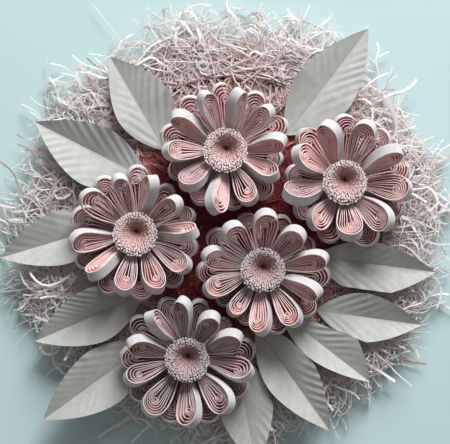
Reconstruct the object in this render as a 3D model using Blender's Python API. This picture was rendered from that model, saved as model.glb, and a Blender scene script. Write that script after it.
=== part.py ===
"""Quilled paper flowers and folded paper leaves on a nest of paper shreds, lying on its base board.

Lengths are in metres. +Z points up out of the work, +Y is its top when it hangs or is seen from the
front, and the origin is the middle of the base board's back.
"""
import math
import random
from dataclasses import dataclass

import bmesh
import bpy
from mathutils import Vector

# Sizes of the paper pieces
PETAL_LENGTH = 0.0285       # a teardrop coil, from its pinched point to its round end
PETAL_WIDTH = 0.0140        # the coil across its round end
STRIP_WIDTH = 0.0050        # the quilling strip, which stands on edge and sets a coil's height
PETAL_WALL = 0.00045        # the coil's pressed turns
HUB_RADIUS = 0.0060         # ring on which the upper petals' points meet
FRINGE_RADIUS = 0.0100      # the splayed fringe of a flower's centre
FRINGE_ROLL_RADIUS = 0.0034     # the tight roll at the foot of the fringe
FRINGE_CUT = 0.0024         # height of a cut fringe tooth
LEAF_LENGTH = 0.0600
LEAF_WIDTH = 0.0260
LEAF_THICKNESS = 0.0005
LEAF_PLEAT = 0.0006         # how far a vein crease stands up or down at the leaf's edge
BASE_THICKNESS = 0.0020
NEST_HEIGHT = 0.0072        # the shreds pressed between the board and the flowers
SHRED_REACH = 0.0250        # how far a lock of shreds stands out from the nest
SHRED_WIDTH = 0.0015
SHRED_THICKNESS = 0.0006
LOCK_RADIUS = 0.0030        # the knot of shreds that a lock grows from
SEAT_GAP = 0.0003           # clearance between pieces that rest on each other

# Places that follow those sizes
FLOWER_PITCH_SHARE = 2.0    # neighbouring flowers stand two petal lengths apart
FLOWER_PITCH = FLOWER_PITCH_SHARE * PETAL_LENGTH
BASE_RADIUS_SHARE = 1.23    # of the pitch
NEST_RADIUS_SHARE = 1.32    # of the pitch
NEST_FLOOR = BASE_THICKNESS + SEAT_GAP
NEST_TOP = NEST_FLOOR + NEST_HEIGHT
LAYER_RISE_SHARE = 1.25     # of the strip's width, from the lower petals up to the upper ones
LOWER_LEVEL = NEST_TOP + SEAT_GAP + STRIP_WIDTH / 2
UPPER_LEVEL = LOWER_LEVEL + LAYER_RISE_SHARE * STRIP_WIDTH
LOWER_HUB_SHARE = 0.84      # of the upper hub's radius

# The teardrop coil. Eye and loop are shares of the petal's length and width, and angles are degrees.
COIL_EYE_SHARE = 0.68
LOOP_FULLNESS_SHARE = 0.712
PINCH_POWER = 1.5
COIL_TIGHTEN_SHARE = 0.5    # what is left of the loop's size after each further turn
COIL_START = 260
ROLL_ROOT_SHARE = 0.35      # a petal reaches its full turn about its own axis here
MITRE_LIMIT_SHARE = 0.45
UPPER_COIL = (0, 70, 125, 160, 200, 235, 290, 360, 450, 540, 650)
LOWER_COIL = (0, 80, 140, 220, 280, 360, 480)
LOOP_TESTS = range(20, 345, 15)
PLANE_SHARES = (0.42, 0.5, 0.58)        # where planes tried between two petals stand
PLANE_TILTS = range(-50, 51, 10)

# Flowers: where each stands, in shares of the pitch, and its upper petals' azimuth, lift and roll
FLOWERS = ("left", "top", "right", "middle", "bottom")
FLOWER_PLACE_SHARES = ((-0.809, -0.072), (-0.079, 0.605), (0.886, 0.347), (0.225, -0.363), (-0.389, -1.089))
UPPER_PETALS = (
    ((142, 30, 0), (105, 38, 5), (71, 40, -55), (36, 46, -5), (2, 36, -55), (-33, 32, 0), (-68, 36, -20),
     (-102, 40, 0), (-137, 36, 52), (-174, 30, -26)),
    ((110, 38, 24), (76, 38, 58), (42, 38, -8), (8, 36, 40), (-27, 32, -28), (-64, 28, 0), (-100, 34, -42),
     (-140, 34, 34), (180, 38, 8), (145, 36, -42)),
    ((147, 36, 30), (107, 36, -46), (68, 34, -8), (31, 36, 52), (-7, 28, -5), (-46, 34, 30), (-86, 44, 0),
     (-126, 28, -20), (-167, 36, 48)),
    ((165, 34, -20), (127, 44, 0), (86, 40, 8), (46, 42, 10), (10, 30, 24), (-24, 34, 44), (-59, 30, 14),
     (-93, 32, 24), (-126, 28, 0), (-160, 28, 8)),
    ((162, 38, -30), (128, 38, 58), (94, 36, -26), (59, 44, 16), (25, 36, 30), (-11, 28, -26), (-50, 32, 24),
     (-89, 28, 30), (-127, 28, 0), (-164, 30, 18)),
)
LOWER_LIFTS = (16, 18, 15)
LOWER_ROLLS = (-10, 7, 12, -6)
NARROWEST_PETAL_SHARE = 0.5

# Fringed centres, in shares of the fringe's radius
FRINGE_TEETH = 14
FRINGE_ROOT_SHARE = 0.64
FRINGE_TOOTH_SHARES = (0.62, 0.78)      # a tooth's width at its root and tip, of its pitch
FRINGE_CRATER_SHARE = 0.26
FRINGE_FLARE_SHARE = 1.16               # how fast the splayed fringe climbs over the petals
TOOTH_CLIMBS = (0.62, 0.40)             # rise of a tooth for its run, every other tooth

# Leaves: the stem's place in shares of the pitch, azimuth, length share, fold and lift in degrees, and
# the left and the right half's shares of their usual width, since each leaf is turned a little on its midrib
LEAF_SHARES = (
    (-0.581, 0.623, 120.6, 0.853, 20, 4, 0.92, 1.23), (-0.739, 0.391, 153.2, 0.98, 26, 2, 1.25, 0.98),
    (-1.028, 0.006, 196.8, 0.92, 22, 2, 0.92, 1.04), (-0.766, -0.575, 203.5, 0.93, 26, 3, 1.0, 1.0),
    (-0.716, -0.971, 216.5, 1.04, 24, 3, 1.10, 1.03), (0.016, -1.070, -80.3, 0.90, 16, 2, 1.0, 1.0),
    (0.180, -0.854, -54.6, 1.00, 27, 2, 0.96, 0.92), (0.377, -0.723, -38.0, 0.90, 25, 3, 1.23, 0.65),
    (0.682, -0.709, -8.0, 0.837, 24, 1, 0.87, 0.90), (0.670, -0.260, -7.5, 0.96, 24, 2, 0.80, 1.17),
    (0.421, 0.751, 52.0, 1.06, 21, 3, 1.03, 1.22),
)
LEAF_STATION_SHARES = (0.0, 0.08, 0.20, 0.33, 0.46, 0.59, 0.72, 0.86, 1.0)
LEAF_WIDEST_SHARE = 0.44                # of the leaf's length
LEAF_STEM_POWER = 0.8                   # under 1 fills the leaf out towards its stem
LEAF_TIP_POWER = 1.7                    # over 1 bows the edges that run to the tip
LEAF_PRESSED_SHARE = 0.45               # up to here the flowers press the fold down
LEAF_REACH_SHARES = (0.5, 0.6)          # of the way to a leaf folded as much or more, and to a flatter one
LEAF_VEIN_SHARE = 0.07                  # how far along a vein has run when it reaches the edge

# The nest and its locks
NEST_SECTORS = 24
NEST_RING_SHARES = ((0.86, 1.0), (0.90, 0.55), (0.94, 1.0), (1.0, 0.50))
NEST_WAVE_SHARE = 0.012
NEST_WAVES = 5
LOCKS = 12
LOCK_ROOTS = (-105, -35, 35, 105)       # where the shreds leave a lock's knot
LOCK_SPREAD_SHARES = (-0.62, -0.20, 0.22, 0.60)
LOCK_BENDS = 4
LOCK_SWAY_SHARE = 0.11
LOCK_SEED = 7
BASE_SIDES = 32

PAPER_COLORS = {
    "petal_paper": (0.80, 0.62, 0.58, 1.0),
    "fringe_paper": (0.84, 0.70, 0.66, 1.0),
    "leaf_paper": (0.78, 0.74, 0.68, 1.0),
    "shred_paper": (0.82, 0.68, 0.64, 1.0),
    "base_card": (0.62, 0.46, 0.44, 1.0),
}
PAPER_ROUGHNESS = 0.85


def paper(kind, name):
    """A matt paper material of its own for one sub-part."""
    material = bpy.data.materials.new(name + "_" + kind)
    material.use_nodes = True
    shader = material.node_tree.nodes["Principled BSDF"]
    shader.inputs["Base Color"].default_value = PAPER_COLORS[kind]
    shader.inputs["Roughness"].default_value = PAPER_ROUGHNESS
    shader.inputs["Metallic"].default_value = 0.0
    material.diffuse_color = PAPER_COLORS[kind]
    return material


def sub_part(name, points, faces, kind):
    """One named object from its points and faces, with its faces turned outwards."""
    mesh = bpy.data.meshes.new(name)
    mesh.from_pydata(points, [], faces)
    shell = bmesh.new()
    shell.from_mesh(mesh)
    bmesh.ops.recalc_face_normals(shell, faces=shell.faces)
    shell.to_mesh(mesh)
    shell.free()
    mesh.materials.append(paper(kind, name))
    piece = bpy.data.objects.new(name, mesh)
    bpy.context.scene.collection.objects.link(piece)
    return piece


def heading(azimuth):
    """The level unit vector at an azimuth in degrees."""
    return Vector((math.cos(math.radians(azimuth)), math.sin(math.radians(azimuth)), 0))


def strips_on_hub(name, strips, top, bottom, kind):
    """One closed body of strips that leave a hub, whose sides are the strips' first sections.

    Strips come anticlockwise. A section holds a strip's lower right, lower left, upper left and
    upper right corner, looking along it.
    """
    points = [top, bottom]
    faces = []
    starts = []
    for strip in strips:
        starts.append(len(points))
        for section in strip:
            points.extend(section)
        for step in range(len(strip) - 1):
            near = starts[-1] + 4 * step
            for corner in range(4):
                turn = (corner + 1) % 4
                faces.append((near + corner, near + turn, near + turn + 4, near + corner + 4))
        end = len(points) - 4
        faces.append((end, end + 1, end + 2, end + 3))
    for this, following in zip(starts, starts[1:] + starts[:1]):
        faces.append((0, this + 3, this + 2))
        faces.append((0, this + 2, following + 3))
        faces.append((1, this + 1, this))
        faces.append((1, following, this + 1))
        faces.append((this + 1, following, following + 3, this + 2))
    return sub_part(name, points, faces, kind)


def loop_point(angle):
    """A point on the teardrop loop, in shares of the petal's length and width."""
    turn = math.radians(angle % 360)
    along = (1 - math.cos(turn)) / 2
    across = LOOP_FULLNESS_SHARE * math.sin(turn) * math.sin(turn / 2) ** PINCH_POWER
    return along, across


def coil_point(angle):
    """A point on the coil, whose loop tightens round the eye with each further turn."""
    along, across = loop_point(angle)
    size = COIL_TIGHTEN_SHARE ** (max(angle - COIL_START, 0) / 360)
    return COIL_EYE_SHARE + size * (along - COIL_EYE_SHARE), size * across


@dataclass
class Petal:
    """A teardrop coil that leaves its flower's hub, lifted from level and rolled about its axis."""

    centre: Vector
    hub: float
    azimuth: float
    lift: float
    roll: float
    length: float = PETAL_LENGTH
    width: float = PETAL_WIDTH

    def root(self):
        return self.centre + heading(self.azimuth) * self.hub

    def axes(self, along):
        """The petal's own axes at a distance along it: outwards, across and up its strip."""
        level = heading(self.azimuth)
        side = heading(self.azimuth + 90)
        lift = math.radians(self.lift)
        roll = math.radians(self.roll) * min(along / (ROLL_ROOT_SHARE * self.length), 1)
        outward = level * math.cos(lift) + Vector((0, 0, math.sin(lift)))
        upright = Vector((0, 0, math.cos(lift))) - level * math.sin(lift)
        across = side * math.cos(roll) + upright * math.sin(roll)
        upward = upright * math.cos(roll) - side * math.sin(roll)
        return outward, across, upward

    def place(self, along, across, height):
        outward, sideways, upward = self.axes(along)
        return self.root() + outward * along + sideways * across + upward * height

    def fit_length(self, plane_point, plane_normal):
        """Shorten the petal until it stays behind a plane."""
        for angle in LOOP_TESTS:
            share_along, share_across = loop_point(angle)
            outward, sideways, upward = self.axes(share_along * self.length)
            reach = outward * share_along * self.length + sideways * share_across * self.width
            edge = abs(upward.dot(plane_normal)) * STRIP_WIDTH / 2 + PETAL_WALL / 2
            room = plane_normal.dot(plane_point - self.root()) - edge
            if reach.dot(plane_normal) > room:
                share = max(room / reach.dot(plane_normal), NARROWEST_PETAL_SHARE)
                self.length *= share
                self.width *= share

    def width_behind(self, plane_point, plane_normal):
        """The share of its width that the petal can keep behind a plane running out beside it."""
        share = 1
        for angle in LOOP_TESTS:
            share_along, share_across = loop_point(angle)
            outward, sideways, upward = self.axes(share_along * self.length)
            edge = abs(upward.dot(plane_normal)) * STRIP_WIDTH / 2 + PETAL_WALL / 2
            middle = self.root() + outward * share_along * self.length
            room = plane_normal.dot(plane_point - middle) - edge
            half = sideways.dot(plane_normal) * share_across * self.width
            if half > 0:
                share = min(share, room / half)
        return share

    def strip(self, angles):
        """Sections of the coiled strip, mitred where it turns."""
        line = []
        for angle in angles:
            share_along, share_across = coil_point(angle)
            line.append(Vector((share_along * self.length, share_across * self.width)))
        legs = [(far - near).normalized() for near, far in zip(line, line[1:])]
        sections = []
        for index, point in enumerate(line):
            before = legs[max(index - 1, 0)]
            after = legs[min(index, len(legs) - 1)]
            left = Vector((-before.y - after.y, before.x + after.x)).normalized()
            squareness = max(left.dot(Vector((-before.y, before.x))), MITRE_LIMIT_SHARE)
            offset = left * PETAL_WALL / 2 / squareness
            right_side = point - offset
            left_side = point + offset
            low = -STRIP_WIDTH / 2
            high = STRIP_WIDTH / 2
            sections.append((self.place(right_side.x, right_side.y, low),
                             self.place(left_side.x, left_side.y, low),
                             self.place(left_side.x, left_side.y, high),
                             self.place(right_side.x, right_side.y, high)))
        return sections


def flower_centre(flower, level):
    share_x, share_y = FLOWER_PLACE_SHARES[FLOWERS.index(flower)]
    return Vector((share_x * FLOWER_PITCH, share_y * FLOWER_PITCH, level))


def fit_between_flowers(flower, petals):
    """Keep a flower's petals on its own side of the planes halfway to the other flowers."""
    for other in FLOWERS:
        if other == flower:
            continue
        for petal in petals:
            far = flower_centre(other, petal.centre.z)
            halfway = (petal.centre + far) / 2
            normal = (far - petal.centre).normalized()
            petal.fit_length(halfway - normal * SEAT_GAP / 2, normal)


def fit_between_petals(petals):
    """Keep neighbouring petals of one layer apart by the plane between them that narrows them least."""
    widths = [petal.width for petal in petals]
    for index, this in enumerate(petals):
        other = (index + 1) % len(petals)
        following = petals[other]
        turn = (following.azimuth - this.azimuth) % 360
        best = 0
        shares = (NARROWEST_PETAL_SHARE, NARROWEST_PETAL_SHARE)
        for lean_share in PLANE_SHARES:
            for tilt in PLANE_TILTS:
                between = Petal(this.centre, this.hub, this.azimuth + turn * lean_share,
                                (this.lift + following.lift) / 2, tilt)
                outward, sideways, upward = between.axes(between.length)
                gap = sideways * SEAT_GAP / 2
                this_share = this.width_behind(between.root() - gap, sideways)
                following_share = following.width_behind(between.root() + gap, -sideways)
                if min(this_share, following_share) > best:
                    best = min(this_share, following_share)
                    shares = (this_share, following_share)
        widths[index] = min(widths[index], this.width * shares[0])
        widths[other] = min(widths[other], following.width * shares[1])
    for petal, width in zip(petals, widths):
        petal.width = width


def upper_petals(flower):
    centre = flower_centre(flower, UPPER_LEVEL)
    ordered = sorted(UPPER_PETALS[FLOWERS.index(flower)], key=lambda row: row[0] % 360)
    petals = [Petal(centre, HUB_RADIUS, *row) for row in ordered]
    fit_between_flowers(flower, petals)
    fit_between_petals(petals)
    return petals


def lower_petals(flower):
    """The lower petals show in the gaps between the upper ones."""
    centre = flower_centre(flower, LOWER_LEVEL)
    azimuths = sorted(row[0] % 360 for row in UPPER_PETALS[FLOWERS.index(flower)])
    petals = []
    for index, (this, following) in enumerate(zip(azimuths, azimuths[1:] + azimuths[:1])):
        between = this + (following - this) % 360 / 2
        petals.append(Petal(centre, HUB_RADIUS * LOWER_HUB_SHARE, between,
                            LOWER_LIFTS[index % len(LOWER_LIFTS)],
                            LOWER_ROLLS[index % len(LOWER_ROLLS)]))
    fit_between_flowers(flower, petals)
    fit_between_petals(petals)
    return petals


def make_petal_layers(flower):
    """A flower's two layers of petals, glued together at their pinched points."""
    rise = Vector((0, 0, STRIP_WIDTH / 2))
    lower = lower_petals(flower)
    upper = upper_petals(flower)
    seat = lower[0].centre + rise
    strips_on_hub(flower + "_flower_lower_petals", [petal.strip(LOWER_COIL) for petal in lower],
                  seat, lower[0].centre - rise, "petal_paper")
    strips_on_hub(flower + "_flower_upper_petals", [petal.strip(UPPER_COIL) for petal in upper],
                  upper[0].centre + rise, seat + Vector((0, 0, SEAT_GAP)), "petal_paper")


def make_fringe(flower):
    """The rolled and splayed fringe that stands in a flower's centre, as a bowl of teeth."""
    centre = flower_centre(flower, UPPER_LEVEL + STRIP_WIDTH / 2 + SEAT_GAP)
    root_radius = FRINGE_RADIUS * FRINGE_ROOT_SHARE
    crater_radius = FRINGE_RADIUS * FRINGE_CRATER_SHARE
    flare = (root_radius - FRINGE_ROLL_RADIUS) * FRINGE_FLARE_SHARE
    foot_height = FRINGE_CUT / 2
    pitch = 360 / FRINGE_TEETH
    points = [centre, centre + Vector((0, 0, foot_height))]
    faces = []
    for tooth in range(FRINGE_TEETH):
        azimuth = tooth * pitch
        climb = TOOTH_CLIMBS[tooth % len(TOOTH_CLIMBS)]
        root_low = centre.z + foot_height + flare
        tip_low = root_low + (FRINGE_RADIUS - root_radius) * climb
        points.append(centre + heading(azimuth) * FRINGE_ROLL_RADIUS)
        points.append(centre + heading(azimuth) * FRINGE_ROLL_RADIUS + Vector((0, 0, foot_height)))
        crater = centre + heading(azimuth) * crater_radius
        points.append(Vector((crater.x, crater.y, root_low)))
        for radius, low, width_share in ((root_radius, root_low, FRINGE_TOOTH_SHARES[0]),
                                         (FRINGE_RADIUS, tip_low, FRINGE_TOOTH_SHARES[1])):
            for side, height in ((-1, 0), (1, 0), (1, FRINGE_CUT), (-1, FRINGE_CUT)):
                spot = centre + heading(azimuth + side * pitch * width_share / 2) * radius
                points.append(Vector((spot.x, spot.y, low + height)))
    stride = 11
    first = 2
    for tooth in range(FRINGE_TEETH):
        this = first + stride * tooth
        following = first + stride * ((tooth + 1) % FRINGE_TEETH)
        foot, neck, crater, root, tip = this, this + 1, this + 2, this + 3, this + 7
        next_foot, next_neck, next_crater, next_root = (following, following + 1, following + 2,
                                                        following + 3)
        faces.append((0, next_foot, foot))
        faces.append((foot, next_foot, next_neck, neck))
        faces.append((neck, root + 1, root))
        faces.append((neck, next_neck, next_root, root + 1))
        faces.append((1, crater, next_crater))
        faces.append((crater, root + 3, root + 2))
        faces.append((crater, root + 2, next_root + 3, next_crater))
        faces.append((root + 1, next_root, next_root + 3, root + 2))
        for corner in range(4):
            turn = (corner + 1) % 4
            faces.append((root + corner, root + turn, tip + turn, tip + corner))
        faces.append((tip, tip + 1, tip + 2, tip + 3))
    return sub_part(flower + "_flower_fringe", points, faces, "fringe_paper")


def leaf_stem(row):
    """The place of a leaf's stem and the level run from there to its tip."""
    share_x, share_y, azimuth, length_share, fold, lift, left_share, right_share = row
    run = heading(azimuth) * LEAF_LENGTH * length_share * math.cos(math.radians(lift))
    return Vector((share_x * FLOWER_PITCH, share_y * FLOWER_PITCH, NEST_TOP + SEAT_GAP)), run


def leaf_half_width(row, share, sign, side_share):
    """One half's width at a share of the leaf's length: a bowed kite, short of the leaves on its side."""
    if share < LEAF_WIDEST_SHARE:
        outline_share = math.sin(math.pi / 2 * share / LEAF_WIDEST_SHARE) ** LEAF_STEM_POWER
    else:
        outline_share = 1 - ((share - LEAF_WIDEST_SHARE) / (1 - LEAF_WIDEST_SHARE)) ** LEAF_TIP_POWER
    half = LEAF_WIDTH / 2 * side_share * outline_share
    stem, run = leaf_stem(row)
    spot = stem + run * share
    side = heading(row[2] + 90) * sign
    for other in LEAF_SHARES:
        far_stem, far_run = leaf_stem(other)
        reach = max(0, min(1, (spot - far_stem).dot(far_run) / far_run.length_squared))
        away = far_stem + far_run * reach - spot
        if other != row and away.dot(side) > 0:
            reach_share = LEAF_REACH_SHARES[row[4] > other[4]]
            half = min(half, away.length * reach_share - SEAT_GAP)
    return half


def make_leaf(name, row):
    """A folded leaf: a valley fold along its midrib and vein creases that zigzag at its edges.

    Both edges stand equally high, so the narrower half is the steeper one.
    """
    azimuth, fold, lift = row[2], row[4], row[5]
    stem, run = leaf_stem(row)
    climb = run + Vector((0, 0, run.length * math.tan(math.radians(lift))))
    side = heading(azimuth + 90)
    rise = math.tan(math.radians(fold))
    sheet = Vector((0, 0, LEAF_THICKNESS))
    points = [stem + climb * share for share in LEAF_STATION_SHARES]
    last = len(points) - 1
    outlines = []
    for sign, side_share in ((1, row[6]), (-1, row[7])):
        outlines.append([0] + [len(points) + index for index in range(last - 1)] + [last])
        for index, share in enumerate(LEAF_STATION_SHARES[1:-1]):
            reach = share + LEAF_VEIN_SHARE
            half = leaf_half_width(row, reach, sign, side_share)
            height = half / side_share * rise * min(reach / LEAF_PRESSED_SHARE, 1)
            height += LEAF_PLEAT / 2 * (-1) ** index
            points.append(stem + climb * reach + side * sign * half + Vector((0, 0, height)))
    upper = len(points)
    points += [spot + sheet for spot in points]
    faces = []
    for outline in outlines:
        for index in range(last):
            near, far = outline[index], outline[index + 1]
            for patch in ((index, index + 1, far), (index, far, near)):
                if len(set(patch)) == len(patch):
                    faces.append(patch)
                    faces.append(tuple(spot + upper for spot in reversed(patch)))
            faces.append((near, far, far + upper))
            faces.append((near, far + upper, near + upper))
    return sub_part(name, points, faces, "leaf_paper")


def nest_radius(azimuth):
    """The nest's edge, which waves in and out a little."""
    wave = math.sin(math.radians(azimuth) * NEST_WAVES)
    return NEST_RADIUS_SHARE * FLOWER_PITCH * (1 + NEST_WAVE_SHARE * wave)


def make_nest():
    """The pressed mass of shreds: a round pad with a gap ring inside its raised rim."""
    points = [Vector((0, 0, NEST_FLOOR)), Vector((0, 0, NEST_TOP))]
    rings = []
    for radius_share, height_share in NEST_RING_SHARES + ((1.0, 0.0),):
        ring = []
        for sector in range(NEST_SECTORS):
            azimuth = sector * 360 / NEST_SECTORS
            spot = heading(azimuth) * nest_radius(azimuth) * radius_share
            spot.z = NEST_FLOOR + NEST_HEIGHT * height_share
            ring.append(len(points))
            points.append(spot)
        rings.append(ring)
    faces = []
    for sector in range(NEST_SECTORS):
        turn = (sector + 1) % NEST_SECTORS
        faces.append((1, rings[0][sector], rings[0][turn]))
        for inner, outer in zip(rings, rings[1:]):
            faces.append((inner[sector], outer[sector], outer[turn], inner[turn]))
        faces.append((0, rings[-1][turn], rings[-1][sector]))
    return sub_part("shred_nest", points, faces, "shred_paper")


def make_lock(name, azimuth, sway):
    """A lock of loose shreds: crinkled ribbons that leave a knot at the nest's edge."""
    outward = heading(azimuth)
    sideways = heading(azimuth + 90)
    set_back = LOCK_RADIUS * math.sin(math.radians(max(LOCK_ROOTS) - 90)) + SHRED_WIDTH / 2
    knot = outward * (nest_radius(azimuth) + SEAT_GAP + set_back)
    knot.z = NEST_FLOOR + SHRED_THICKNESS
    swing = SHRED_REACH * LOCK_SWAY_SHARE * sway.choice((-1, 1))
    strips = []
    for root, spread_share in zip(LOCK_ROOTS, LOCK_SPREAD_SHARES):
        start = (LOCK_RADIUS * math.cos(math.radians(root)), LOCK_RADIUS * math.sin(math.radians(root)))
        end = (SHRED_REACH * sway.uniform(0.82, 1.0), SHRED_REACH * spread_share)
        crest = NEST_HEIGHT * sway.uniform(0.25, 0.75)
        line = []
        for step in range(LOCK_BENDS + 1):
            share = step / LOCK_BENDS
            out = start[0] + (end[0] - start[0]) * share
            over = start[1] + (end[1] - start[1]) * share ** 0.7
            over += swing * math.sin(2 * math.pi * share)
            rise = crest * math.sin(math.pi * share * 0.8)
            line.append(knot + outward * out + sideways * over + Vector((0, 0, rise)))
        sections = []
        for index, spot in enumerate(line):
            leg = (line[min(index + 1, LOCK_BENDS)] - line[max(index - 1, 0)])
            if index == 0:
                leg = spot - knot
            left = Vector((-leg.y, leg.x, 0)).normalized() * SHRED_WIDTH / 2
            over = Vector((0, 0, SHRED_THICKNESS / 2))
            sections.append((spot - left - over, spot + left - over, spot + left + over,
                             spot - left + over))
        strips.append(sections)
    half = Vector((0, 0, SHRED_THICKNESS / 2))
    return strips_on_hub(name, strips, knot + half, knot - half, "shred_paper")


def make_base():
    """The round card base."""
    radius = BASE_RADIUS_SHARE * FLOWER_PITCH
    shell = bmesh.new()
    bmesh.ops.create_cone(shell, cap_ends=True, segments=BASE_SIDES, radius1=radius,
                          radius2=radius, depth=BASE_THICKNESS)
    bmesh.ops.translate(shell, verts=shell.verts, vec=(0, 0, BASE_THICKNESS / 2))
    mesh = bpy.data.meshes.new("base_board")
    shell.to_mesh(mesh)
    shell.free()
    mesh.materials.append(paper("base_card", "base_board"))
    board = bpy.data.objects.new("base_board", mesh)
    bpy.context.scene.collection.objects.link(board)


for leftover in list(bpy.data.objects):
    bpy.data.objects.remove(leftover, do_unlink=True)

make_base()
make_nest()
lock_sway = random.Random(LOCK_SEED)
for lock in range(LOCKS):
    make_lock(f"shred_lock_{lock + 1:02d}", lock * 360 / LOCKS, lock_sway)
for number, row in enumerate(LEAF_SHARES, start=1):
    make_leaf(f"leaf_{number:02d}", row)
for bloom in FLOWERS:
    make_petal_layers(bloom)
    make_fringe(bloom)
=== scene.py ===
import math

import bpy
import numpy as np
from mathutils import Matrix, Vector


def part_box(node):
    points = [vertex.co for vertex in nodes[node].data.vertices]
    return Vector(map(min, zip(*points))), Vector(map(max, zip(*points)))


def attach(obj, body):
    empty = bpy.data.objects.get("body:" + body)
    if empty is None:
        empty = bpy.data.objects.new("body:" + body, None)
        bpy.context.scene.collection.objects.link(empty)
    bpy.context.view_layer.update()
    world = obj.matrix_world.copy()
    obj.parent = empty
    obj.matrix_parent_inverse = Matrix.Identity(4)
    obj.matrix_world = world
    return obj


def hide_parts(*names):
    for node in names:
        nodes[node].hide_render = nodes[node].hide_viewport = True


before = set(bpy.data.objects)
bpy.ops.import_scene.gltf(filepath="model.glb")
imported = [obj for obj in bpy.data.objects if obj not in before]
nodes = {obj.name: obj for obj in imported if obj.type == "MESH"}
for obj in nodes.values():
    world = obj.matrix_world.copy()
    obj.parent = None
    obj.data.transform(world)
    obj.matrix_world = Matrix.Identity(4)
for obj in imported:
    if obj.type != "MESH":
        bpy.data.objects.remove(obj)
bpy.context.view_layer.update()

# Camera and light
# The work lies on its back and is seen from straight above. A large soft light stands past its top
# edge, low enough to whiten the far walls of the coils, and a pale sky fills the shade.
VIEW_CENTRE = (-0.0047, 0.0014)
VIEW_HEIGHT = 0.622
VIEW_HALF_TANGENT = 0.1748
WINDOW_PLACE = (0.32, 1.28, 0.80)
WINDOW_SIZE = 0.76
WINDOW_WATTS = 42.5
WINDOW_COLOR = (0.985, 0.985, 1.0)
SKY_COLOR = (0.86, 0.85, 0.83, 1)
SKY_STRENGTH = 0.27
camera_data = bpy.data.cameras.new("view")
camera_data.angle = 2 * math.atan(VIEW_HALF_TANGENT)
camera = bpy.data.objects.new("view", camera_data)
camera.location = (*VIEW_CENTRE, VIEW_HEIGHT)
bpy.context.scene.collection.objects.link(camera)
bpy.context.scene.camera = camera
bpy.context.scene.view_settings.view_transform = "Standard"


def soft_light(name, place, size, power, color):
    """A square area light at a place, turned to face the middle of the work."""
    data = bpy.data.lights.new(name, "AREA")
    data.shape = "SQUARE"
    data.size = size
    data.energy = power
    data.color = color
    lamp = bpy.data.objects.new(name, data)
    lamp.location = place
    distance = math.hypot(place[0], place[1])
    lamp.rotation_euler = (math.atan2(distance, place[2]), 0, math.atan2(place[0], -place[1]))
    bpy.context.scene.collection.objects.link(lamp)


soft_light("window", WINDOW_PLACE, WINDOW_SIZE, WINDOW_WATTS, WINDOW_COLOR)
world = bpy.data.worlds.new("sky")
world.use_nodes = True
sky = world.node_tree.nodes["Background"]
sky.inputs["Color"].default_value = SKY_COLOR
sky.inputs["Strength"].default_value = SKY_STRENGTH
bpy.context.scene.world = world

# Floor
# A plain matt table, pale green, on which the work lies to be seen. It is a stage and no part of the
# work.
FLOOR_SIZE = 9.0
FLOOR_COLOR = (0.48, 0.63, 0.635, 1)
FLOOR_ROUGHNESS = 0.9
SHEEN = 0.25


def mesh_piece(name, points, faces, smooth=False):
    """An object at the origin whose mesh holds the given points and faces."""
    mesh = bpy.data.meshes.new(name)
    mesh.from_pydata(np.reshape(points, (-1, 3)).tolist(), [], faces)
    if smooth:
        mesh.shade_smooth()
    piece = bpy.data.objects.new(name, mesh)
    bpy.context.scene.collection.objects.link(piece)
    return piece


def matt_material(name, roughness):
    """A node material with its Principled shader, and the makers of its nodes and links."""
    material = bpy.data.materials.new(name)
    material.use_nodes = True
    shader = material.node_tree.nodes["Principled BSDF"]
    shader.inputs["Roughness"].default_value = roughness
    shader.inputs["Specular IOR Level"].default_value = SHEEN
    return material, shader, material.node_tree.nodes, material.node_tree.links


half = FLOOR_SIZE / 2
floor = mesh_piece("floor", [(-half, -half, 0), (half, -half, 0), (half, half, 0), (-half, half, 0)],
                   [(0, 1, 2, 3)])
material, shader, made, link = matt_material("pale_floor", FLOOR_ROUGHNESS)
shader.inputs["Base Color"].default_value = FLOOR_COLOR
floor.data.materials.append(material)

# Base board
# A round of stiff card at the back, to which everything is glued. It shows only past the shreds, from
# the side and from behind.
MOTTLE_SCALE = 260
FIBRE_SCALE = 2600
FIBRE_SHARE = 0.5
GRAIN_BAND = (0.36, 0.64)
ROUGHNESS_BAND = (0.72, 0.95)
PAPER_ROUGHNESS = 0.85
FIBRE_STRENGTH = 0.6
GLOW_REACH = 0.0010
GLOW_TINTS = (1.0, 0.75, 0.70)
BOARD_COLOR = (0.50, 0.33, 0.31, 1)


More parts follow.
